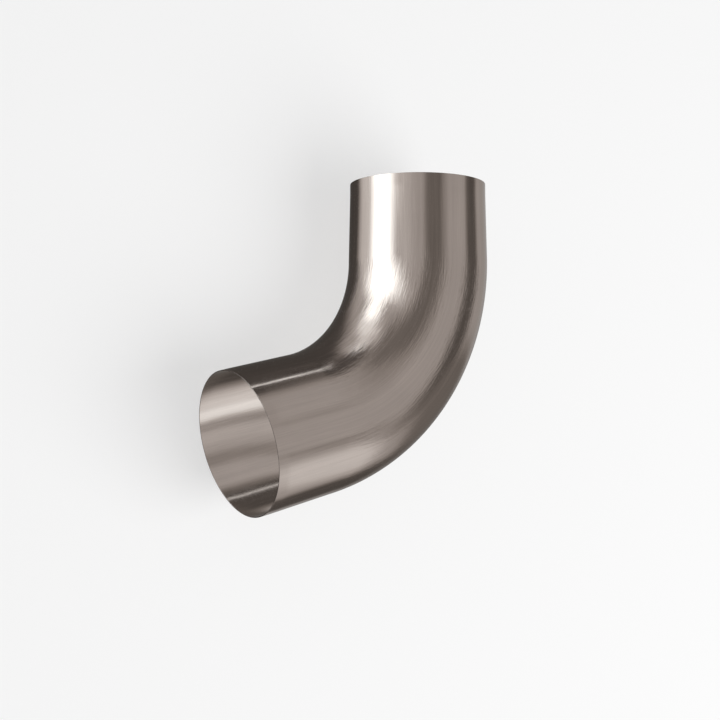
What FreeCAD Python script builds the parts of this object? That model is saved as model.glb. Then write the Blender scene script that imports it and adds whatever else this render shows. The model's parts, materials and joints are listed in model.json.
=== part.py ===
import FreeCAD, Part
import Sketcher
import enum
import math
import os

# Downpipe bend: one thin-walled steel tube, bent and with its two ends sized.
#
# The bend keeps the pipe's own diameter. One leg is drawn in to a spigot that enters
# the next pipe, and the other is opened out to a socket that takes a pipe's end.
# Both mouths are cut square, and a short straight land at each one sizes the slip joint.
#
# All lengths are in millimetres. In the body's own frame the centre of the bend's arc
# is the origin and the tube's centre line lies in the XY plane: the spigot points to +Y,
# and from its foot the tube turns towards -Y and -X, where the socket is. The body is
# then placed as it lies on a floor at z = 0.

SIZES = {
    "pipe_diameter": 100.0,     # outside of the bend, and of the pipes that it joins
    "wall": 0.6,                # sheet thickness
    "bend_radius": 125.0,       # to the tube's centre line
    "bend_angle": 75.0,         # degrees
    "spigot_length": 56.0,      # from the bend to the spigot's mouth
    "spigot_land": 8.0,         # straight length at the spigot's mouth
    "spigot_clearance": 0.4,    # spigot to the bore of the pipe around it, on the radius
    "socket_length": 56.0,      # from the bend to the socket's mouth
    "socket_land": 8.0,         # straight length at the socket's mouth
    "socket_clearance": 0.5,    # socket to the pipe inside it, on the radius
    "rim_bevel": 0.15,          # deburred edges of both mouths
}

PIPE_RADIUS = "Sizes.pipe_diameter / 2"
SPIGOT_RADIUS = "Sizes.pipe_diameter / 2 - Sizes.wall - Sizes.spigot_clearance"
SOCKET_RADIUS = "Sizes.pipe_diameter / 2 + Sizes.wall + Sizes.socket_clearance"

DOWN = FreeCAD.Vector(0, 0, -1)
FULL_TURN = math.radians(360)


class Point(enum.IntEnum):
    """The points of a sketched line or arc."""
    START = 1
    END = 2
    CENTRE = 3


class Datum(enum.IntEnum):
    """The sketch's own lines. The first one's start is the sketch's origin."""
    X_AXIS = -1


def fill_sheet(doc):
    """Write each driving size in a cell that carries its name."""
    sheet = doc.addObject("Spreadsheet::Sheet", "Sizes")
    for row, (name, value) in enumerate(SIZES.items(), 1):
        sheet.set(f"A{row}", name)
        sheet.set(f"B{row}", str(value))
        sheet.setAlias(f"B{row}", name)
    doc.recompute()
    return sheet


def new_sketch(body, name, plane_role):
    """Start a sketch on one of the body's own origin planes."""
    plane = next(item for item in body.Origin.OriginFeatures if item.Role == plane_role)
    sketch = body.newObject("Sketcher::SketchObject", name)
    sketch.AttachmentSupport = [(plane, "")]
    sketch.MapMode = "FlatFace"
    return sketch


def relate(sketch, *relation):
    """Add a constraint that has no size."""
    sketch.addConstraint(Sketcher.Constraint(*relation))


def bind(sketch, name, expression, *dimension):
    """Add a named dimension and tie it to the sheet."""
    sketch.addConstraint(Sketcher.Constraint(*dimension))
    sketch.renameConstraint(sketch.ConstraintCount - 1, name)
    sketch.setExpression(f"Constraints.{name}", expression)


def draw_circle(sketch, centre, radius):
    """Draw a circle as two arcs that meet on the tube's crown lines, above and below."""
    circle = Part.Circle(centre, -DOWN, radius)
    quarter = FULL_TURN / 4
    outside = sketch.addGeometry(Part.ArcOfCircle(circle, -quarter, quarter))
    inside = sketch.addGeometry(Part.ArcOfCircle(circle, quarter, 3 * quarter))
    relate(sketch, "Coincident", outside, Point.CENTRE, inside, Point.CENTRE)
    relate(sketch, "Coincident", outside, Point.END, inside, Point.START)
    relate(sketch, "Vertical", outside, Point.START, outside, Point.CENTRE)
    relate(sketch, "Vertical", outside, Point.END, outside, Point.CENTRE)
    relate(sketch, "Vertical", inside, Point.END, inside, Point.CENTRE)
    return outside


def draw_bend(body, sheet):
    """Draw the tube's ring section, which stands where the spigot leg meets the bend."""
    sketch = new_sketch(body, "bend_section", "XZ_Plane")
    centre = FreeCAD.Vector(sheet.bend_radius, 0, 0)
    outer_radius = sheet.pipe_diameter / 2
    inner_radius = outer_radius - sheet.wall
    outer = draw_circle(sketch, centre, outer_radius)
    inner = draw_circle(sketch, centre, inner_radius)
    relate(sketch, "Coincident", inner, Point.CENTRE, outer, Point.CENTRE)
    relate(sketch, "PointOnObject", outer, Point.CENTRE, Datum.X_AXIS)
    bind(sketch, "bend_radius", "Sizes.bend_radius",
         "DistanceX", Datum.X_AXIS, Point.START, outer, Point.CENTRE, sheet.bend_radius)
    bind(sketch, "outer_radius", PIPE_RADIUS, "Radius", outer, outer_radius)
    bind(sketch, "inner_radius", PIPE_RADIUS + " - Sizes.wall", "Radius", inner, inner_radius)
    return sketch


def draw_leg(body, sheet, name, side, rim_radius, rim_expression):
    """Draw one leg's wall: a taper that starts at the bend, then the land at the mouth.

    side is +1 where the leg points to the sketch's +Y, and -1 where it points to -Y.
    """
    sketch = new_sketch(body, f"{name}_section", "XY_Plane")
    pipe_radius = sheet.pipe_diameter / 2
    wall = sheet.wall
    land = sheet.get(f"{name}_land")
    mouth_y = side * sheet.get(f"{name}_length")
    land_y = mouth_y - side * land
    axis_x = sheet.bend_radius
    foot_x = axis_x + pipe_radius
    rim_x = axis_x + rim_radius

    def line(start, end):
        return sketch.addGeometry(Part.LineSegment(FreeCAD.Vector(*start), FreeCAD.Vector(*end)))

    axis = line((axis_x, 0), (axis_x, mouth_y))
    sketch.setConstruction(axis, True)
    corners = [(foot_x, 0), (foot_x - wall, 0), (rim_x - wall, land_y),
               (rim_x - wall, mouth_y), (rim_x, mouth_y), (rim_x, land_y)]
    loop = [line(a, b) for a, b in zip(corners, corners[1:] + corners[:1])]
    foot, inner_taper, inner_land, rim, outer_land, outer_taper = loop
    for edge, following in zip(loop, loop[1:] + loop[:1]):
        relate(sketch, "Coincident", edge, Point.END, following, Point.START)

    relate(sketch, "Vertical", axis)
    relate(sketch, "PointOnObject", axis, Point.START, Datum.X_AXIS)
    relate(sketch, "PointOnObject", foot, Point.START, Datum.X_AXIS)
    relate(sketch, "PointOnObject", foot, Point.END, Datum.X_AXIS)
    relate(sketch, "Vertical", inner_land)
    relate(sketch, "Vertical", outer_land)
    relate(sketch, "Horizontal", rim)
    relate(sketch, "Horizontal", axis, Point.END, rim, Point.END)
    relate(sketch, "Equal", inner_land, outer_land)

    bind(sketch, "bend_radius", "Sizes.bend_radius",
         "DistanceX", Datum.X_AXIS, Point.START, axis, Point.START, axis_x)
    bind(sketch, "leg_length", f"Sizes.{name}_length", "Distance", axis, abs(mouth_y))
    bind(sketch, "land_length", f"Sizes.{name}_land", "Distance", outer_land, land)
    bind(sketch, "foot_radius", PIPE_RADIUS,
         "DistanceX", axis, Point.START, foot, Point.START, pipe_radius)
    bind(sketch, "rim_radius", rim_expression,
         "DistanceX", axis, Point.END, rim, Point.END, rim_radius)
    bind(sketch, "foot_wall", "Sizes.wall", "DistanceX", foot, Point.END, foot, Point.START, wall)
    bind(sketch, "rim_wall", "Sizes.wall", "DistanceX", rim, Point.START, rim, Point.END, wall)
    return sketch


def turn_round_bend(sketch, sheet):
    """Carry a leg's sketch round the centre of the bend to the bend's far end."""
    turn = FreeCAD.Rotation(DOWN, sheet.bend_angle)
    sketch.AttachmentOffset = FreeCAD.Placement(FreeCAD.Vector(), turn)
    sketch.setExpression("AttachmentOffset.Rotation.Angle", "Sizes.bend_angle * 1 deg")


def revolve(body, name, sketch, axis):
    """Turn a sketch about one of its own axes, through a full circle unless bound later."""
    feature = body.newObject("PartDesign::Revolution", name)
    feature.Profile = sketch
    feature.ReferenceAxis = (sketch, [axis])
    feature.Angle = math.degrees(FULL_TURN)
    feature.Refine = False
    return feature


def mouth_centres(sheet):
    """The middle of the spigot's mouth and of the socket's, in the body's frame."""
    spigot = FreeCAD.Vector(sheet.bend_radius, sheet.spigot_length, 0)
    socket = FreeCAD.Vector(sheet.bend_radius, -sheet.socket_length, 0)
    return spigot, FreeCAD.Rotation(DOWN, sheet.bend_angle).multVec(socket)


def bevel_rims(body, base, sheet):
    """Break the sharp edges that the cut leaves, inside and outside each mouth."""
    centres = mouth_centres(sheet)
    rims = []
    for number, edge in enumerate(base.Shape.Edges, 1):
        is_circle = isinstance(edge.Curve, Part.Circle)
        if is_circle and any(edge.Curve.Center.isEqual(point, 1e-4) for point in centres):
            rims.append(f"Edge{number}")
    if len(rims) != 2 * len(centres):
        raise ValueError(f"found {len(rims)} rim edges, not an inner and an outer at each mouth")
    bevel = body.newObject("PartDesign::Chamfer", "rim_bevel")
    bevel.Base = (base, rims)
    bevel.Size = sheet.rim_bevel
    bevel.setExpression("Size", "min(Sizes.rim_bevel; Sizes.wall * 0.4)")
    bevel.Refine = False
    return bevel


def tube_volume(wall, start_radius, end_radius, length):
    """Sheet in a tube whose outer radius changes evenly along its length."""
    return math.pi * wall * (start_radius + end_radius - wall) * length


def expected_volume(sheet):
    """The sheet's volume worked out by hand, without the small bevels of the rims."""
    pipe = sheet.pipe_diameter / 2
    wall = sheet.wall
    spigot = pipe - wall - sheet.spigot_clearance
    socket = pipe + wall + sheet.socket_clearance
    arc = sheet.bend_radius * math.radians(sheet.bend_angle)
    return (
        tube_volume(wall, pipe, pipe, arc)
        + tube_volume(wall, pipe, spigot, sheet.spigot_length - sheet.spigot_land)
        + tube_volume(wall, spigot, spigot, sheet.spigot_land)
        + tube_volume(wall, pipe, socket, sheet.socket_length - sheet.socket_land)
        + tube_volume(wall, socket, socket, sheet.socket_land)
    )


def check(doc, body, sheet):
    """Stop if a feature failed, or if the tube isn't one sound shell of the right volume."""
    for item in doc.Objects:
        if "Invalid" in item.State or "Error" in item.State:
            raise ValueError(f"{item.Name} failed: {item.State}")
    shape = body.Shape
    if shape.isNull() or not shape.isValid() or len(shape.Solids) != 1:
        raise ValueError("the tube isn't one valid solid")
    wanted = expected_volume(sheet)
    if abs(shape.Volume / wanted - 1) > 0.002:
        raise ValueError(f"the volume is {shape.Volume:.0f} mm3, not {wanted:.0f} mm3")


def lay_on_floor(body):
    """Lie the tube on its side, with the origin under the middle of its footprint."""
    box = body.Shape.optimalBoundingBox(False, False)
    move = FreeCAD.Vector(-box.Center.x, -box.Center.y, -box.ZMin)
    body.Placement = FreeCAD.Placement(move, FreeCAD.Rotation())


def build():
    doc = FreeCAD.newDocument("DownpipeBend")
    sheet = fill_sheet(doc)
    body = doc.addObject("PartDesign::Body", "downpipe_bend")
    body.Label = "downpipe_bend"

    bend = revolve(body, "bend", draw_bend(body, sheet), "V_Axis")
    bend.Reversed = True
    bend.setExpression("Angle", "Sizes.bend_angle * 1 deg")
    doc.recompute()

    pipe = sheet.pipe_diameter / 2
    spigot_radius = pipe - sheet.wall - sheet.spigot_clearance
    spigot = draw_leg(body, sheet, "spigot", 1, spigot_radius, SPIGOT_RADIUS)
    revolve(body, "spigot", spigot, "Axis0")
    doc.recompute()

    socket_radius = pipe + sheet.wall + sheet.socket_clearance
    socket = draw_leg(body, sheet, "socket", -1, socket_radius, SOCKET_RADIUS)
    turn_round_bend(socket, sheet)
    legs = revolve(body, "socket", socket, "Axis0")
    doc.recompute()

    bevel_rims(body, legs, sheet)
    doc.recompute()
    check(doc, body, sheet)

    lay_on_floor(body)
    doc.recompute()
    check(doc, body, sheet)
    return body, sheet


body, sheet = build()
os.makedirs("parts", exist_ok=True)
body.Shape.exportStep(f"parts/{body.Label}.step")

box = body.Shape.optimalBoundingBox(False, False)
print(f"size {box.XLength:.2f} x {box.YLength:.2f} x {box.ZLength:.2f} mm")
print(f"sheet metal {body.Shape.Volume:.0f} mm3, worked out {expected_volume(sheet):.0f} mm3")
for name, centre in zip(("spigot", "socket"), mouth_centres(sheet)):
    middle = body.Placement.multVec(centre)
    print(f"{name} mouth at {middle.x:.3f}, {middle.y:.3f}, {middle.z:.3f}")
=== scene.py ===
# %% [markdown]
# A downpipe bend in Blender.
# The real object is one piece of thin sheet steel: a round tube, drawn in at one end and opened
# out at the other, then bent. Its construction was made in CAD, and this script gives it its
# looks. The CAD model comes first, as a fixed frame that says where everything is.

# %% Load the frame
import json
import math

import bmesh
import bpy
from mathutils import Matrix, Vector


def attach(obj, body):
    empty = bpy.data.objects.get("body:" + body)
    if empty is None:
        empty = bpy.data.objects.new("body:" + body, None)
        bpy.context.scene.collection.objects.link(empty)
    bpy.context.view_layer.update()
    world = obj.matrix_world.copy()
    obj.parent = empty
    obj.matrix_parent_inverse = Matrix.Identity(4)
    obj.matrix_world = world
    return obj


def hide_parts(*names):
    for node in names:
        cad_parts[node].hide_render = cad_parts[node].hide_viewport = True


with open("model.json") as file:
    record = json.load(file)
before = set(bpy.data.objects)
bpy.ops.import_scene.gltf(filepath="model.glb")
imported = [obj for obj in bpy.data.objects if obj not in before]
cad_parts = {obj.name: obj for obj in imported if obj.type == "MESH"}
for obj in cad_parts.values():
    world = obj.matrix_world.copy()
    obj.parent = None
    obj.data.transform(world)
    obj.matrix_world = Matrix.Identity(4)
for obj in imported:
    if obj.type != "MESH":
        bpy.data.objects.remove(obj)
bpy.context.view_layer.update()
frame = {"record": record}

# %% [markdown]
# The two ends of the bend are the places where other pipes fit, and the frame's record holds
# them as mounts: the middle of each straight end, its direction and its radius. Their two axes
# cross where the bend's corner would be. The turn between them is the bend's angle, and the way
# from that corner to a mouth, less the straight leg, gives the radius of the bend. So only the
# leg, the wall and the pipe's own radius are named here, and the rest is worked out. Both legs
# are of one length, so the bend starts and ends at the same distance from a mouth.

# %% Sizes, in metres
PIPE_RADIUS = 0.050
LEG_LENGTH = 0.056
WALL = 0.0006

mounts = {mount["name"]: mount for mount in frame["record"]["mounts"]}
spigot = mounts["spigot"]
socket = mounts["socket"]
land = spigot["dims"]["length_mm"] / 1000
spigot_radius = spigot["dims"]["r_mm"] / 1000
socket_radius = socket["dims"]["r_mm"] / 1000 + WALL

spigot_axis = Vector(spigot["axis"])
socket_axis = Vector(socket["axis"])
spigot_mouth = Vector(spigot["pos_m"]) + spigot_axis * land / 2
socket_mouth = Vector(socket["pos_m"]) + socket_axis * land / 2

bend_angle = (-spigot_axis).angle(socket_axis)
mouth_to_mouth = (socket_mouth - spigot_mouth).length
mouth_to_corner = mouth_to_mouth / 2 / math.cos(bend_angle / 2)
bend_radius = (mouth_to_corner - LEG_LENGTH) / math.tan(bend_angle / 2)
towards_outside = spigot_axis.cross((0, 0, 1))
bend_finish = LEG_LENGTH + bend_radius * bend_angle
bend_centre = spigot_mouth - spigot_axis * LEG_LENGTH - towards_outside * bend_radius
print("bend angle in degrees:", round(math.degrees(bend_angle), 3))
print("bend radius in mm:", round(1000 * bend_radius, 3))
print("bend centre in mm:", [round(1000 * place, 3) for place in bend_centre])

# %% [markdown]
# Geometry Nodes and shader nodes are both built from small nodes that pass values to each other.
# One helper adds a node: what it is given as a socket it links, and what it is given as a number
# it writes into the input. The others shorten the arithmetic, so that the rule of the bend reads
# almost like a formula.

# %% Helpers for node trees
def add_node(tree, kind, inputs=None, **settings):
    """Adds a node to a tree and fills its inputs with values or with other nodes' outputs."""
    node = tree.nodes.new(kind)
    for name, value in settings.items():
        setattr(node, name, value)
    for name, value in (inputs or {}).items():
        if isinstance(value, bpy.types.NodeSocket):
            tree.links.new(value, node.inputs[name])
        else:
            node.inputs[name].default_value = value
    return node


def math_node(tree, operation, *values):
    """The result of one arithmetic step."""
    return add_node(tree, "ShaderNodeMath", dict(enumerate(values)), operation=operation).outputs[0]


def vector_node(tree, operation, *values):
    """The result of one step of vector arithmetic."""
    return add_node(tree, "ShaderNodeVectorMath", dict(enumerate(values)), operation=operation).outputs[0]


def scaled(tree, vector, factor):
    """A vector times a number."""
    node = add_node(tree, "ShaderNodeVectorMath", {"Vector": vector, "Scale": factor}, operation="SCALE")
    return node.outputs[0]


def mapped(tree, value, from_min, from_max, to_min, to_max, smooth=False):
    """A value carried from one range to another, held at the ends."""
    inputs = {"Value": value, "From Min": from_min, "From Max": from_max}
    inputs.update({"To Min": to_min, "To Max": to_max})
    kind = "SMOOTHSTEP" if smooth else "LINEAR"
    return add_node(tree, "ShaderNodeMapRange", inputs, interpolation_type=kind).outputs[0]


def mixed(tree, share, first, second):
    """The first number where the share is 0, the second where it is 1, and between them between."""
    return add_node(tree, "ShaderNodeMix", {0: share, 2: first, 3: second}).outputs[0]


print("helpers for nodes are ready")

# %% [markdown]
# The tube follows a rule, so Geometry Nodes make it, in the order in which the factory does.
# A flat grid is the sheet. It is rolled into a straight tube whose radius follows the drawn and
# the opened end. That straight shape is stored as an attribute, because the steel's grain was
# already in the sheet before it was bent, and the material reads it later. Then the tube is bent:
# each ring is turned about the bend's centre by its distance along the tube. A curve with a
# profile would also give a bend, but here the straight shape, which the grain needs, is at hand.

# %% The tube's node tree
TREE_INPUTS = {
    "Pipe Radius": "NodeSocketFloat",
    "Spigot Radius": "NodeSocketFloat",
    "Socket Radius": "NodeSocketFloat",
    "Leg Length": "NodeSocketFloat",
    "Land": "NodeSocketFloat",
    "Bend Radius": "NodeSocketFloat",
    "Bend Angle": "NodeSocketFloat",
    "Bend Centre": "NodeSocketVector",
    "Steps Per Leg": "NodeSocketInt",
    "Steps In Bend": "NodeSocketInt",
    "Steps Around": "NodeSocketInt",
    "Steel": "NodeSocketMaterial",
}
STRAIGHT_SHAPE = "straight_shape"

tube_tree = bpy.data.node_groups.new("bent_tube", "GeometryNodeTree")
for name, kind in TREE_INPUTS.items():
    tube_tree.interface.new_socket(name, in_out="INPUT", socket_type=kind)
tube_tree.interface.new_socket("Geometry", in_out="OUTPUT", socket_type="NodeSocketGeometry")
given = add_node(tube_tree, "NodeGroupInput").outputs
arc_length = math_node(tube_tree, "MULTIPLY", given["Bend Radius"], given["Bend Angle"])
bend_end = math_node(tube_tree, "ADD", given["Leg Length"], arc_length)
tube_length = math_node(tube_tree, "ADD", bend_end, given["Leg Length"])
print("the tree takes", len(TREE_INPUTS), "inputs")

# %% [markdown]
# The sheet is a grid one unit long and wide. Its rows become rings, and their spacing follows
# from their number in each stretch, so that a ring falls exactly where a leg ends and the bend
# starts.

# %% The sheet, and where each of its rows lies along the tube
leg_steps = given["Steps Per Leg"]
bend_steps = given["Steps In Bend"]
bend_last_step = math_node(tube_tree, "ADD", leg_steps, bend_steps)
all_steps = math_node(tube_tree, "ADD", bend_last_step, leg_steps)
sheet = add_node(tube_tree, "GeometryNodeMeshGrid", {
    "Size X": 1.0,
    "Size Y": 1.0,
    "Vertices X": math_node(tube_tree, "ADD", all_steps, 1.0),
    "Vertices Y": math_node(tube_tree, "ADD", given["Steps Around"], 1.0),
}).outputs["Mesh"]
place = add_node(tube_tree, "GeometryNodeInputPosition").outputs[0]
across = add_node(tube_tree, "ShaderNodeSeparateXYZ", {0: place}).outputs
step = mapped(tube_tree, across["X"], -0.5, 0.5, 0.0, all_steps)
first_leg = mapped(tube_tree, step, 0.0, leg_steps, 0.0, given["Leg Length"])
through_bend = mapped(tube_tree, step, leg_steps, bend_last_step, 0.0, arc_length)
last_leg = mapped(tube_tree, step, bend_last_step, all_steps, 0.0, given["Leg Length"])
legs_passed = math_node(tube_tree, "ADD", first_leg, last_leg)
along = math_node(tube_tree, "ADD", legs_passed, through_bend)
print("rows lie along the tube by rule, with", len(tube_tree.nodes), "nodes so far")

# %% [markdown]
# Each mouth has a short straight land, where the joint slides, and from there the radius runs
# evenly to that of the pipe. The sheet is rolled round with sine and cosine, and the seam is
# merged, so the tube closes. The shape is stored before it is bent.

# %% Roll the sheet into the straight tube
SEAM_GAP = 1e-6
spigot_taper_end = mapped(tube_tree, along, given["Land"], given["Leg Length"],
                          given["Spigot Radius"], given["Pipe Radius"])
socket_land_start = math_node(tube_tree, "SUBTRACT", tube_length, given["Land"])
socket_growth = math_node(tube_tree, "SUBTRACT", given["Socket Radius"], given["Pipe Radius"])
socket_taper = mapped(tube_tree, along, bend_end, socket_land_start, 0.0, socket_growth)
radius = math_node(tube_tree, "ADD", spigot_taper_end, socket_taper)
turn = math_node(tube_tree, "MULTIPLY", across["Y"], 2 * math.pi)
straight_place = add_node(tube_tree, "ShaderNodeCombineXYZ", {
    "X": math_node(tube_tree, "MULTIPLY", radius, math_node(tube_tree, "COSINE", turn)),
    "Y": math_node(tube_tree, "MULTIPLY", radius, math_node(tube_tree, "SINE", turn)),
    "Z": along,
}).outputs[0]
rolled = add_node(tube_tree, "GeometryNodeSetPosition", {
    "Geometry": sheet,
    "Position": straight_place,
})
closed = add_node(tube_tree, "GeometryNodeMergeByDistance", {
    "Geometry": rolled.outputs[0],
    "Distance": SEAM_GAP,
})
stored = add_node(tube_tree, "GeometryNodeStoreNamedAttribute", {
    "Geometry": closed.outputs[0],
    "Name": STRAIGHT_SHAPE,
}, data_type="FLOAT_VECTOR", domain="POINT")
tube_tree.links.new(place, stored.inputs["Value"])
print("the straight tube is stored as", STRAIGHT_SHAPE)

# %% [markdown]
# For the bend, every point knows its distance along the straight tube. Inside the bend that
# distance divided by the bend's radius is the angle of its ring. Before and after it the angle
# stays, and the rest of the distance goes straight on. The last steps turn the faces outward and
# shade them smooth.

# %% Bend the tube
straight = add_node(tube_tree, "ShaderNodeSeparateXYZ", {0: place}).outputs
past_leg = math_node(tube_tree, "SUBTRACT", straight["Z"], given["Leg Length"])
from_bend_start = math_node(tube_tree, "MAXIMUM", past_leg, 0.0)
bent_length = math_node(tube_tree, "MINIMUM", from_bend_start, arc_length)
straight_on = math_node(tube_tree, "SUBTRACT", past_leg, bent_length)
ring_angle = math_node(tube_tree, "DIVIDE", bent_length, given["Bend Radius"])
sine = math_node(tube_tree, "SINE", ring_angle)
cosine = math_node(tube_tree, "COSINE", ring_angle)
outward = add_node(tube_tree, "ShaderNodeCombineXYZ", {
    "X": cosine,
    "Y": math_node(tube_tree, "MULTIPLY", sine, -1.0),
}).outputs[0]
forward = add_node(tube_tree, "ShaderNodeCombineXYZ", {
    "X": math_node(tube_tree, "MULTIPLY", sine, -1.0),
    "Y": math_node(tube_tree, "MULTIPLY", cosine, -1.0),
}).outputs[0]
upward = add_node(tube_tree, "ShaderNodeCombineXYZ", {"Z": straight["Y"]}).outputs[0]
from_centre = math_node(tube_tree, "ADD", given["Bend Radius"], straight["X"])
in_plane = vector_node(tube_tree, "ADD", scaled(tube_tree, outward, from_centre),
                       scaled(tube_tree, forward, straight_on))
bent_place = vector_node(tube_tree, "ADD", vector_node(tube_tree, "ADD", in_plane, upward),
                         given["Bend Centre"])
bent = add_node(tube_tree, "GeometryNodeSetPosition", {
    "Geometry": stored.outputs[0],
    "Position": bent_place,
})
faced_out = add_node(tube_tree, "GeometryNodeFlipFaces", {"Mesh": bent.outputs[0]})
smooth = add_node(tube_tree, "GeometryNodeSetShadeSmooth", {"Geometry": faced_out.outputs[0]})
real = add_node(tube_tree, "GeometryNodeRealizeInstances", {"Geometry": smooth.outputs[0]})
painted = add_node(tube_tree, "GeometryNodeSetMaterial", {
    "Geometry": real.outputs[0],
    "Material": given["Steel"],
})
add_node(tube_tree, "NodeGroupOutput", {"Geometry": painted.outputs[0]})
print("the tree has", len(tube_tree.nodes), "nodes")

# %% [markdown]
# The finish is bare brushed steel. Its grain runs along the tube, because the sheet was rolled
# and brushed that way before it was bent. The material therefore reads the stored straight shape
# and stretches its noise along it. Fine and broad lines vary the tone a little and the roughness
# with it, and some soft clouds keep the tone from being even. Short strokes make a very low
# relief. It is next to nothing in the legs and deeper in the bend, where the sheet was stretched,
# and there it feathers the edges of a highlight.

# %% Brushed steel
STEEL_LIGHT = (0.37, 0.315, 0.285, 1.0)
STEEL_DARK = (0.31, 0.265, 0.24, 1.0)
EDGE_TINT = (0.65, 0.64, 0.63, 1.0)
# lines per metre across the tube, how many times longer than wide they are, and their detail
FINE_GRAIN = (1800.0, 90.0, 2.0)
BROAD_GRAIN = (260.0, 60.0, 3.0)
STROKES = (800.0, 9.0, 3.0)
BROAD_SHARE = 0.6
CLOUDS_PER_METRE = 22.0
CLOUD_DETAIL = 3.0
NOISE_ROUGHNESS = 0.6
CLOUD_SHARE = 0.3
NOISE_LOW = 0.35
NOISE_HIGH = 0.65
ROUGHNESS_LOW = 0.09
ROUGHNESS_HIGH = 0.17
RELIEF_DEPTH = 0.0005
RELIEF_STRENGTH = 0.5
GRAIN_SHARE = 0.05
STROKES_IN_LEGS = 0.05
STROKES_IN_BEND = 0.55
STRETCH_OUTSIDE_BEND = 0.01
STRETCH_INSIDE_BEND = 0.02


def grain_lines(tree, shape, lines_per_metre, stretch, detail):
    """Noise in lines along the tube: fine across them and long along them."""
    size = (lines_per_metre, lines_per_metre, lines_per_metre / stretch)
    lengthened = vector_node(tree, "MULTIPLY", shape, size)
    inputs = {"Vector": lengthened, "Scale": 1.0, "Detail": detail, "Roughness": NOISE_ROUGHNESS}
    return add_node(tree, "ShaderNodeTexNoise", inputs).outputs["Fac"]


def stretched_share(tree, shape):
    """1 in the bend and 0 in the legs, with a soft change over the bend's two ends."""
    along = add_node(tree, "ShaderNodeSeparateXYZ", {0: shape}).outputs["Z"]
    starts = mapped(tree, along, LEG_LENGTH - STRETCH_OUTSIDE_BEND,
                    LEG_LENGTH + STRETCH_INSIDE_BEND, 0.0, 1.0, smooth=True)
    ends = mapped(tree, along, bend_finish - STRETCH_INSIDE_BEND,
                  bend_finish + STRETCH_OUTSIDE_BEND, 1.0, 0.0, smooth=True)
    return math_node(tree, "MULTIPLY", starts, ends)


def brushed_steel():
    """Bare steel with a lengthwise grain."""
    material = bpy.data.materials.new("brushed_steel")
    material.use_nodes = True
    tree = material.node_tree
    surface = tree.nodes["Principled BSDF"]
    shape = add_node(tree, "ShaderNodeAttribute", attribute_name=STRAIGHT_SHAPE).outputs["Vector"]
    grain = mixed(tree, BROAD_SHARE, grain_lines(tree, shape, *FINE_GRAIN),
                  grain_lines(tree, shape, *BROAD_GRAIN))
    cloud_inputs = {"Vector": shape, "Scale": CLOUDS_PER_METRE, "Detail": CLOUD_DETAIL}
    clouds = add_node(tree, "ShaderNodeTexNoise", cloud_inputs).outputs["Fac"]
    colours = add_node(tree, "ShaderNodeValToRGB", {"Fac": mixed(tree, CLOUD_SHARE, grain, clouds)})
    dark, light = colours.color_ramp.elements
    dark.position = NOISE_LOW
    dark.color = STEEL_DARK
    light.position = NOISE_HIGH
    light.color = STEEL_LIGHT
    tree.links.new(colours.outputs["Color"], surface.inputs["Base Color"])
    roughness = mapped(tree, grain, NOISE_LOW, NOISE_HIGH, ROUGHNESS_LOW, ROUGHNESS_HIGH)
    tree.links.new(roughness, surface.inputs["Roughness"])
    depth = mixed(tree, stretched_share(tree, shape), STROKES_IN_LEGS, STROKES_IN_BEND)
    strokes = math_node(tree, "MULTIPLY", grain_lines(tree, shape, *STROKES), depth)
    height = math_node(tree, "ADD", math_node(tree, "MULTIPLY", grain, GRAIN_SHARE), strokes)
    relief_inputs = {"Strength": RELIEF_STRENGTH, "Distance": RELIEF_DEPTH, "Height": height}
    relief = add_node(tree, "ShaderNodeBump", relief_inputs)
    tree.links.new(relief.outputs["Normal"], surface.inputs["Normal"])
    surface.inputs["Metallic"].default_value = 1.0
    surface.inputs["Specular Tint"].default_value = EDGE_TINT
    print("the steel's material has", len(tree.nodes), "nodes")
    return material


steel = brushed_steel()

# %% [markdown]
# The node tree is put on an object as a modifier, and its inputs get their sizes. Two more
# modifiers finish the sheet: Solidify gives it its wall on the inside, and Bevel takes the
# sharpness off the cut edges at the mouths. The result is then turned into a plain mesh, and the
# modifiers go.

# %% Make the bend
EDGE_ROUNDING = 0.00012
EDGE_SEGMENTS = 2
EDGE_ANGLE = math.radians(50)


def set_input(modifier, name, value):
    """Writes a node tree's input by the identifier of its socket."""
    for item in modifier.node_group.interface.items_tree:
        if item.item_type == "SOCKET" and item.in_out == "INPUT" and item.name == name:
            modifier[item.identifier] = value


def start_tube(name, tube_sizes):
    """An object that carries the node tree with its sizes filled in."""
    made = bpy.data.objects.new(name, bpy.data.meshes.new(name))
    bpy.context.scene.collection.objects.link(made)
    tube = made.modifiers.new("tube", "NODES")
    tube.node_group = tube_tree
    for size_name, value in tube_sizes.items():
        set_input(tube, size_name, value)
    return made


def make_plain(made):
    """Turns what the modifiers show into the object's own mesh, and takes the modifiers off."""
    evaluated = made.evaluated_get(bpy.context.evaluated_depsgraph_get())
    finished = bpy.data.meshes.new_from_object(evaluated)
    made.modifiers.clear()
    made.data = finished
    finished.name = made.name
    return finished


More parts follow.
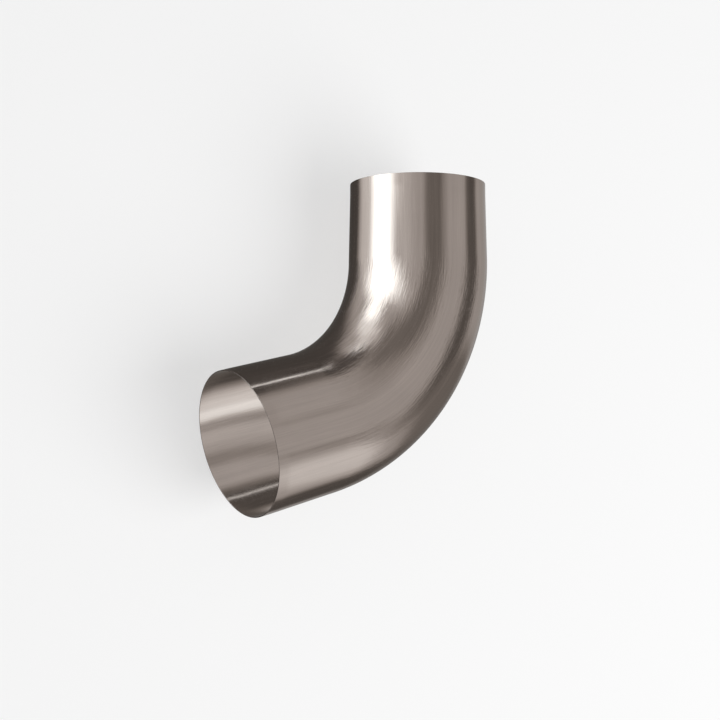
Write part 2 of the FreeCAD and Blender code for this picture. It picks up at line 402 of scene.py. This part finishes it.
sizes = {
    "Pipe Radius": PIPE_RADIUS,
    "Spigot Radius": spigot_radius,
    "Socket Radius": socket_radius,
    "Leg Length": LEG_LENGTH,
    "Land": land,
    "Bend Radius": bend_radius,
    "Bend Angle": bend_angle,
    "Bend Centre": bend_centre,
    "Steps Per Leg": 28,
    "Steps In Bend": 84,
    "Steps Around": 240,
    "Steel": steel,
}
bend = start_tube("steel_bend", sizes)
wall = bend.modifiers.new("wall", "SOLIDIFY")
wall.thickness = WALL
wall.offset = -1.0
edges = bend.modifiers.new("edges", "BEVEL")
edges.width = EDGE_ROUNDING
edges.segments = EDGE_SEGMENTS
edges.limit_method = "ANGLE"
edges.angle_limit = EDGE_ANGLE
edges.harden_normals = True
finished = make_plain(bend)
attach(bend, "root")
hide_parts("downpipe_bend")
print(len(finished.vertices), "vertices", len(finished.loop_triangles), "triangles")

# %% [markdown]
# The bend can't stand on either end, so it lies on its side on a plain pale floor. The camera
# sees the floor's paint mixed with plain white. So the floor looks nearly white without more
# light on the steel, and the shadow stays.

# %% The floor
FLOOR_SIZE = 8.0
FLOOR_COLOUR = (0.86, 0.86, 0.86, 1.0)
FLOOR_ROUGHNESS = 0.9
WHITE = (1.0, 1.0, 1.0, 1.0)
WHITE_SHARE = 0.6


def floor_paint():
    """A matt paint that the camera sees mixed with white."""
    material = bpy.data.materials.new("floor_paint")
    material.use_nodes = True
    tree = material.node_tree
    surface = tree.nodes["Principled BSDF"]
    surface.inputs["Base Color"].default_value = FLOOR_COLOUR
    surface.inputs["Roughness"].default_value = FLOOR_ROUGHNESS
    white = add_node(tree, "ShaderNodeEmission", {"Color": WHITE, "Strength": 1.0}).outputs[0]
    seen = add_node(tree, "ShaderNodeLightPath").outputs["Is Camera Ray"]
    share = math_node(tree, "MULTIPLY", seen, WHITE_SHARE)
    pale = add_node(tree, "ShaderNodeMixShader", {0: share, 1: surface.outputs[0], 2: white})
    tree.links.new(pale.outputs[0], tree.nodes["Material Output"].inputs["Surface"])
    return material


def square(name, size, material):
    """A flat square round the origin, facing up."""
    half = size / 2
    mesh = bpy.data.meshes.new(name)
    corners = [(-half, -half, 0), (half, -half, 0), (half, half, 0), (-half, half, 0)]
    mesh.from_pydata(corners, [], [(0, 1, 2, 3)])
    mesh.materials.append(material)
    made = bpy.data.objects.new(name, mesh)
    bpy.context.scene.collection.objects.link(made)
    return made


floor = square("floor", FLOOR_SIZE, floor_paint())
floor.visible_glossy = False
print("the floor is", FLOOR_SIZE, "m wide")

# %% [markdown]
# Metal shows what is round it, so shiny things are photographed inside a light tent with bright
# and dark cards on its walls. The tent here is a large ball round the object that only the metal
# shows: the camera doesn't see it, it doesn't light the floor, and the floor itself is left out
# of the reflections. Each card is a soft-edged patch in one direction from the object, laid over
# the ones before it. Directions are told as the photo's viewer would: azimuth in degrees to the
# right of the viewer, elevation in degrees up the picture. The bright cards are windows of light,
# and the dark ones are flags, whose dark bands make a round tube look round. The three narrow
# line cards make the thin bright line on the lower leg, which runs on through the crook.

# %% The tent's cards
TENT_LEVEL = 0.86
TENT_CARDS = [
    # name, azimuth, elevation, width, height, share at full level, turn, level
    ("glow", -22, 12, 44, 50, 0.0, 0, 1.2),
    ("glow_left", -100, 15, 44, 60, 0.0, 0, 1.5),
    ("haze", -21, 33, 42, 26, 0.0, 0, 2.0),
    ("window", -58, 31, 80, 46, 0.3, 0, 5.0),
    ("window_foot", -63, 8, 63, 46, 0.32, 0, 5.0),
    ("window_neck", -61, 53, 40, 44, 0.15, 0, 4.4),
    ("window_top", -48, 67, 56, 22, 0.2, 0, 2.1),
    ("door", 28, 18, 44, 80, 0.4, 0, 0.32),
    ("door_top", 20, 47, 44, 50, 0.3, 0, 0.36),
    ("door_edge", 46, 30, 20, 70, 0.0, 0, 0.6),
    ("side_haze", 62, 21, 44, 16, 0.0, 0, 0.72),
    ("roof_haze", 64, 66, 60, 26, 0.0, 0, 0.6),
    ("top_glow", 4, 61, 16, 18, 0.0, 0, 1.0),
    ("top_light", -20, 74, 26, 24, 0.25, 0, 2.2),
    ("roof_flag", 41, 78, 54, 31, 0.4, 0, 0.15),
    ("roof_shade", 36, 69, 26, 14, 0.2, 0, 0.25),
    ("side_flag", 98, 4, 36, 84, 0.45, 0, 0.2),
    ("low_flag", 136, -17, 100, 33, 0.55, 0, 0.36),
    ("low_light", 100, -40, 58, 20, 0.4, -18, 1.53),
    ("band", 76, -20, 26, 12, 0.2, 0, 0.6),
    ("foot_flag", 161, -37, 50, 40, 0.5, 0, 0.2),
    ("inner_flag", -167, 47, 78, 74, 0.55, 0, 0.15),
    ("inner_low_flag", -148, 20, 70, 42, 0.72, 0, 0.15),
    ("back_shade", 172, -1, 44, 52, 0.25, 0, 0.38),
    ("back_light", 177, 5, 26, 14, 0.1, 0, 0.85),
    ("crown_flag", 158, 76, 44, 32, 0.4, 0, 0.15),
    ("line", 115, 75, 4, 19, 0.3, 28, 2.5),
    ("crook_line", 116, 80, 3, 12, 0.2, 0, 1.1),
    ("tail_line", -14, 76, 7, 26, 0.25, 0, 3.2),
    ("rim_flag", -116, -12, 50, 34, 0.5, 0, 0.04),
]
print(len(TENT_CARDS), "cards in the tent")

# %% [markdown]
# A card is found by turning the direction of a mirrored ray into the card's own frame. There X
# points at the card's middle, and Y and Z, divided by half the card's size, say how far off it
# the ray passes. The photo's dim reflections are a little warm and its bright ones a little cool,
# so the light's colour follows its level.

# %% The tent's light
WARM = (1.05, 1.0, 0.95, 1.0)
PLAIN = (1.0, 1.0, 1.0, 1.0)
COOL = (0.92, 1.0, 1.03, 1.0)
TINT_STEPS = [(0.25, WARM), (0.9, PLAIN), (2.4, COOL)]


def studio_light(tree, level):
    """Light of a level, a little warm where it is dim and a little cool where it is bright."""
    colour = TINT_STEPS[0][1]
    for (low_level, low_colour), (high_level, high_colour) in zip(TINT_STEPS, TINT_STEPS[1:]):
        share = mapped(tree, level, low_level, high_level, 0.0, 1.0)
        inputs = {0: share, 6: colour, 7: high_colour}
        colour = add_node(tree, "ShaderNodeMix", inputs, data_type="RGBA").outputs[2]
    return add_node(tree, "ShaderNodeEmission", {"Color": colour, "Strength": level}).outputs[0]


def card_mask(tree, direction, azimuth, elevation, wide, high, core, turn):
    """1 in the middle of a card and 0 outside it, for a direction from the tent's middle."""
    rotation = [math.radians(angle) for angle in (turn, -elevation, azimuth)]
    half_sizes = (1.0, math.sin(math.radians(wide / 2)), math.sin(math.radians(high / 2)))
    inputs = {"Vector": direction, "Rotation": rotation, "Scale": half_sizes}
    on_card = add_node(tree, "ShaderNodeMapping", inputs, vector_type="TEXTURE").outputs[0]
    in_front = add_node(tree, "ShaderNodeSeparateXYZ", {0: on_card}).outputs["X"]
    flat = vector_node(tree, "MULTIPLY", on_card, (0.0, 1.0, 1.0))
    far = add_node(tree, "ShaderNodeVectorMath", {0: flat}, operation="LENGTH").outputs["Value"]
    patch = mapped(tree, far, core, 1.0, 1.0, 0.0, smooth=True)
    return math_node(tree, "MULTIPLY", patch, math_node(tree, "GREATER_THAN", in_front, 0.0))


def tent_material():
    """Light of the tent's own level, with the cards laid over it one by one."""
    material = bpy.data.materials.new("tent")
    material.use_nodes = True
    material.cycles.emission_sampling = "NONE"
    tree = material.node_tree
    tree.nodes.clear()
    place = add_node(tree, "ShaderNodeTexCoord").outputs["Object"]
    direction = vector_node(tree, "NORMALIZE", place)
    level = TENT_LEVEL
    for name, azimuth, elevation, wide, high, core, turn, card_level in TENT_CARDS:
        mask = card_mask(tree, direction, azimuth, elevation, wide, high, core, turn)
        level = mixed(tree, mask, level, card_level)
    add_node(tree, "ShaderNodeOutputMaterial", {"Surface": studio_light(tree, level)})
    print("the tent's material has", len(tree.nodes), "nodes")
    return material


tent_light = tent_material()

# %% [markdown]
# The ball is turned so that its X points to the viewer, its Y to the right of the picture and its
# Z up the picture, which is where the cards' directions are told from. VIEW_TURN is the viewer's
# turn about the spigot's axis, away from straight above the object.

# %% Hang the tent
VIEW_TURN = math.radians(32.5244)
TENT_RADIUS = 2.0
BALL_SUBDIVISIONS = 5


def ball(name, radius, material):
    """A smooth ball round the origin."""
    mesh = bpy.data.meshes.new(name)
    shape = bmesh.new()
    bmesh.ops.create_icosphere(shape, subdivisions=BALL_SUBDIVISIONS, radius=radius)
    shape.to_mesh(mesh)
    shape.free()
    mesh.materials.append(material)
    made = bpy.data.objects.new(name, mesh)
    bpy.context.scene.collection.objects.link(made)
    return made


def show_to_mirror_rays_only(made):
    """Hides a studio light from the camera and from the floor, so that only the metal shows it."""
    for ray in ("camera", "diffuse", "transmission", "volume_scatter", "shadow"):
        setattr(made, "visible_" + ray, False)


tent = ball("tent", TENT_RADIUS, tent_light)
towards_viewer = Vector((-math.sin(VIEW_TURN), 0, math.cos(VIEW_TURN)))
picture_up = Vector((0, 1, 0))
picture_right = picture_up.cross(towards_viewer)
tent_axes = Matrix((towards_viewer, picture_right, picture_up))
tent.rotation_euler = tent_axes.transposed().to_euler()
show_to_mirror_rays_only(tent)
print("the tent is a ball of", TENT_RADIUS, "m")

# %% [markdown]
# The inside of the tube sees little of the tent, so it has its own lights: soft strips that run
# along the bore, on a liner just off its wall. The liner comes from the tube's own node tree with
# smaller sizes. Seen from its outside it is clear, so a ray that starts at the wall passes the
# near side and shows the strips of the far side. Towards each mouth the strips fade to one dim
# level, as the wall there mirrors the dim room in front of it.

# %% Strips of light in the bore
BORE_GAP = 0.0002
BORE_LEVEL = 0.95
MOUTH_LEVEL = 0.27
MOUTH_FADE_START = 0.022
MOUTH_FADE_END = 0.042
BORE_STRIPS = [
    # name, angle round the bore from the bend's outside, width, share at full level, level
    ("grey_top", 115, 55, 0.1, 0.6),
    ("glow", -12, 100, 0.1, 1.75),
    ("soft", 64, 44, 0.3, 1.12),
    ("bright", 8, 38, 0.3, 2.3),
    ("shade", 38, 24, 0.2, 0.75),
    ("dark", -116, 142, 0.45, 0.18),
    ("line", -137, 7, 0.3, 2.2),
]


def strip_mask(tree, around, angle, wide, core):
    """1 in the middle of a strip and 0 outside it, for a unit vector from the middle line."""
    centre = (math.cos(math.radians(angle)), math.sin(math.radians(angle)), 0.0)
    dot = add_node(tree, "ShaderNodeVectorMath", {0: around, 1: centre}, operation="DOT_PRODUCT")
    away = math_node(tree, "ARCCOSINE", math_node(tree, "MINIMUM", dot.outputs["Value"], 1.0))
    half = math.radians(wide / 2)
    return mapped(tree, away, core * half, half, 1.0, 0.0, smooth=True)


def bore_material():
    """Strips of light, seen from inside the liner only."""
    material = bpy.data.materials.new("bore_light")
    material.use_nodes = True
    material.cycles.emission_sampling = "NONE"
    tree = material.node_tree
    tree.nodes.clear()
    shape = add_node(tree, "ShaderNodeAttribute", attribute_name=STRAIGHT_SHAPE).outputs["Vector"]
    around = vector_node(tree, "NORMALIZE", vector_node(tree, "MULTIPLY", shape, (1.0, 1.0, 0.0)))
    level = BORE_LEVEL
    for name, angle, wide, core, strip_level in BORE_STRIPS:
        mask = strip_mask(tree, around, angle, wide, core)
        level = mixed(tree, mask, level, strip_level)
    along = add_node(tree, "ShaderNodeSeparateXYZ", {0: shape}).outputs["Z"]
    to_socket_mouth = math_node(tree, "SUBTRACT", bend_finish + LEG_LENGTH, along)
    to_mouth = math_node(tree, "MINIMUM", along, to_socket_mouth)
    deep = mapped(tree, to_mouth, MOUTH_FADE_START, MOUTH_FADE_END, 0.0, 1.0, smooth=True)
    light = studio_light(tree, mixed(tree, deep, MOUTH_LEVEL, level))
    inside = add_node(tree, "ShaderNodeNewGeometry").outputs["Backfacing"]
    clear = add_node(tree, "ShaderNodeBsdfTransparent").outputs[0]
    lit = add_node(tree, "ShaderNodeMixShader", {0: inside, 1: clear, 2: light}).outputs[0]
    add_node(tree, "ShaderNodeOutputMaterial", {"Surface": lit})
    return material


bore_sizes = dict(sizes)
for name in ("Pipe Radius", "Spigot Radius", "Socket Radius"):
    bore_sizes[name] -= WALL + BORE_GAP
bore_sizes.update({"Steps Per Leg": 10, "Steps In Bend": 40, "Steps Around": 120})
bore_sizes["Steel"] = bore_material()
bore = start_tube("bore_light", bore_sizes)
make_plain(bore)
show_to_mirror_rays_only(bore)
print(len(BORE_STRIPS), "strips in the bore,", 1000 * BORE_GAP, "mm off its wall")

# %% [markdown]
# The room is an even white. The camera sees it at full strength behind the floor's edge, it lights
# the floor softly from all sides at a lower level, and mirror rays leave it out, since they have
# the tent.

# %% The room
ROOM_LEVEL = 0.34

world = bpy.data.worlds.new("room")
world.use_nodes = True
room_tree = world.node_tree
room = room_tree.nodes["Background"]
seen = add_node(room_tree, "ShaderNodeLightPath").outputs["Is Camera Ray"]
room.inputs["Color"].default_value = WHITE
room_tree.links.new(mapped(room_tree, seen, 0.0, 1.0, ROOM_LEVEL, 1.0), room.inputs["Strength"])
world.cycles_visibility.glossy = False
bpy.context.scene.world = world
print("the room lights at", ROOM_LEVEL)

# %% [markdown]
# One large soft lamp lights the floor from the side and shapes the shadow. It is left out of the
# reflections too, so it makes no bright patch in the steel.

# %% The floor's lamp
LAMP_DISTANCE = 3.0
LAMP_SIZE = 3.0
LAMP_WATTS = 87.0
LAMP_AZIMUTH = math.radians(-35)
LAMP_ELEVATION = math.radians(50)

lamp_light = bpy.data.lights.new("soft_lamp", "AREA")
lamp_light.shape = "DISK"
lamp_light.size = LAMP_SIZE
lamp_light.energy = LAMP_WATTS
lamp = bpy.data.objects.new("soft_lamp", lamp_light)
lamp_side = Vector((math.cos(LAMP_AZIMUTH), math.sin(LAMP_AZIMUTH), 0)) * math.cos(LAMP_ELEVATION)
towards_lamp = lamp_side + Vector((0, 0, math.sin(LAMP_ELEVATION)))
lamp.location = towards_lamp * LAMP_DISTANCE
lamp.rotation_euler = towards_lamp.to_track_quat("Z", "Y").to_euler()
lamp.visible_camera = False
lamp.visible_glossy = False
bpy.context.scene.collection.objects.link(lamp)
print("the lamp is at", [round(place, 2) for place in lamp.location])

# %% [markdown]
# The camera has the photograph's angle to the object: turned about the spigot's axis by VIEW_TURN
# from straight above, and tipped a little along that axis. Its place and lens were found by
# laying the drawn outline over the photo's.

# %% Camera
VIEW_TIP = math.radians(5.0951)
VIEW_DISTANCE = 1.2329
VIEW_CENTRE = Vector((0.00536, -0.00953, 0.0511))
LENS = 87.5147

view = picture_up * math.sin(VIEW_TIP) - towards_viewer * math.cos(VIEW_TIP)
camera_data = bpy.data.cameras.new("camera")
camera_data.lens = LENS
camera = bpy.data.objects.new("camera", camera_data)
camera.location = VIEW_CENTRE - view * VIEW_DISTANCE
right = view.cross(picture_up).normalized()
up = right.cross(view)
rows = [(right[i], up[i], -view[i]) for i in range(3)]
camera.rotation_euler = Matrix(rows).to_euler()
bpy.context.scene.collection.objects.link(camera)
bpy.context.scene.camera = camera
bpy.context.scene.view_settings.view_transform = "Standard"
print("the camera is", VIEW_DISTANCE, "m from the bend, with a lens of", LENS, "mm")
